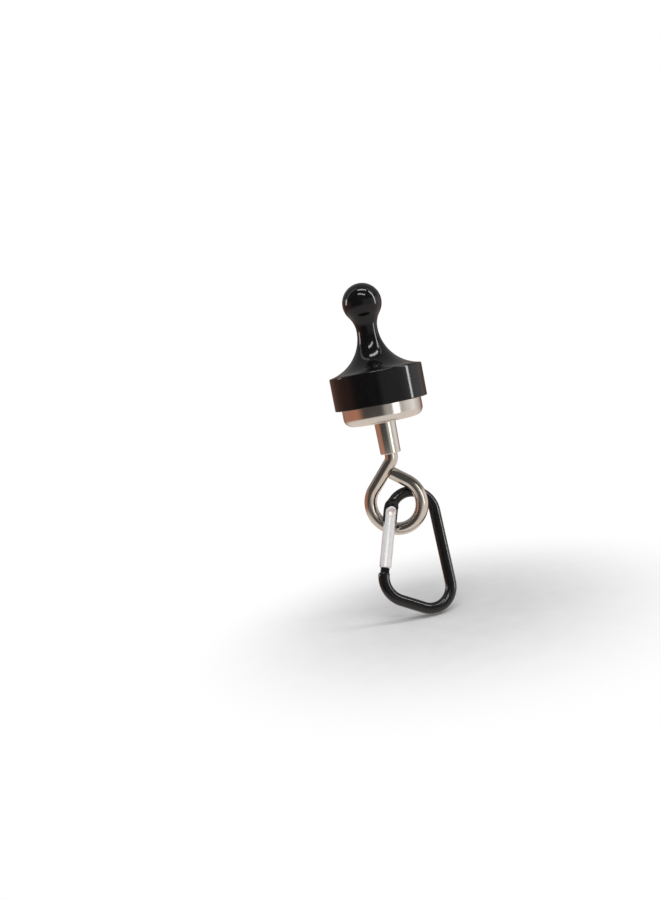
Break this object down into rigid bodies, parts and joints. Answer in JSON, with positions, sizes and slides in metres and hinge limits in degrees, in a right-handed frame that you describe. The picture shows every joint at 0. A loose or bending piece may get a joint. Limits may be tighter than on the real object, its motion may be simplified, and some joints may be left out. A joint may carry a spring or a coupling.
{
  "type": "magnetic retriever",
  "caption": "Pocket magnetic retriever: pot magnet with a threaded bush and wire eye bolt, a pawn-shaped keeper magnet on its face, and a small D-shaped snap carabiner on the eye.",
  "frame": {"origin": "centre of the pot magnet's working face, on the axis", "axes": "+Z along the axis from the pot magnet towards the keeper's knob; the eye bolt and carabiner hang towards -Z; -Y is the front"},
  "size_m": [0.029, 0.029, 0.1035],
  "materials": {
    "black_gloss_plastic": "gloss moulded",
    "nickel_plating": "bright nickel plate",
    "nickel_wire": "nickel plated drawn wire",
    "magnet_nickel": "nickel coated",
    "plain_steel": "zinc plated",
    "cast_resin": "cast epoxy",
    "black_anodised": "gloss black anodised",
    "bright_aluminium": "bright satin",
    "rivet_metal": "pressed rivet",
    "spring_steel": "drawn wire"
  },
  "bodies": {
    "pot": {"pot_cup": "nickel_plating", "pot_magnet": "magnet_nickel", "pot_resin_ring": "cast_resin", "threaded_bush": "nickel_plating"},
    "keeper": {"keeper_shell": "black_gloss_plastic", "keeper_magnet": "magnet_nickel", "keeper_back_plate": "plain_steel"},
    "eye": {"eye_bolt": "nickel_wire"},
    "carabiner": {"carabiner_body": "black_anodised", "gate_hinge_rivet": "rivet_metal"},
    "gate": {"carabiner_gate": "bright_aluminium", "gate_spring": "spring_steel"},
    "follower": {"gate_follower": "plain_steel"}
  },
  "joints": [
    {"name": "keeper_pull_off", "type": "slide", "parent": "pot", "child": "keeper", "axis": [0, 0, 1], "range_m": [0, 0.03]},
    {"name": "eye_bolt_turn", "type": "hinge", "parent": "pot", "child": "eye", "pos_m": [0, 0, -0.0184], "axis": [0, 0, -1], "range_deg": [0, 180]},
    {"name": "carabiner_swing", "type": "hinge", "parent": "eye", "child": "carabiner", "pos_m": [-0.00132, 0.00028, -0.03445], "axis": [0.2079, 0.9781, 0], "range_deg": [-100, 150]},
    {"name": "gate_open", "type": "hinge", "parent": "carabiner", "child": "gate", "pos_m": [-0.00365, -0.0021, -0.03677], "axis": [0.3064, -0.9012, 0.3064], "range_deg": [0, 25], "stiffness_Nm_per_rad": 0.001, "springref_deg": -28.65},
    {"name": "follower_slide", "type": "slide", "parent": "gate", "child": "follower", "axis": [-0.2706, -0.3911, -0.8797], "range_m": [0, 0.000546], "deforming": ["gate_spring"]}
  ],
  "couplings": [
    {"joint": "follower_slide", "follows": "gate_open", "m_per_rad": 0.00125}
  ]
}
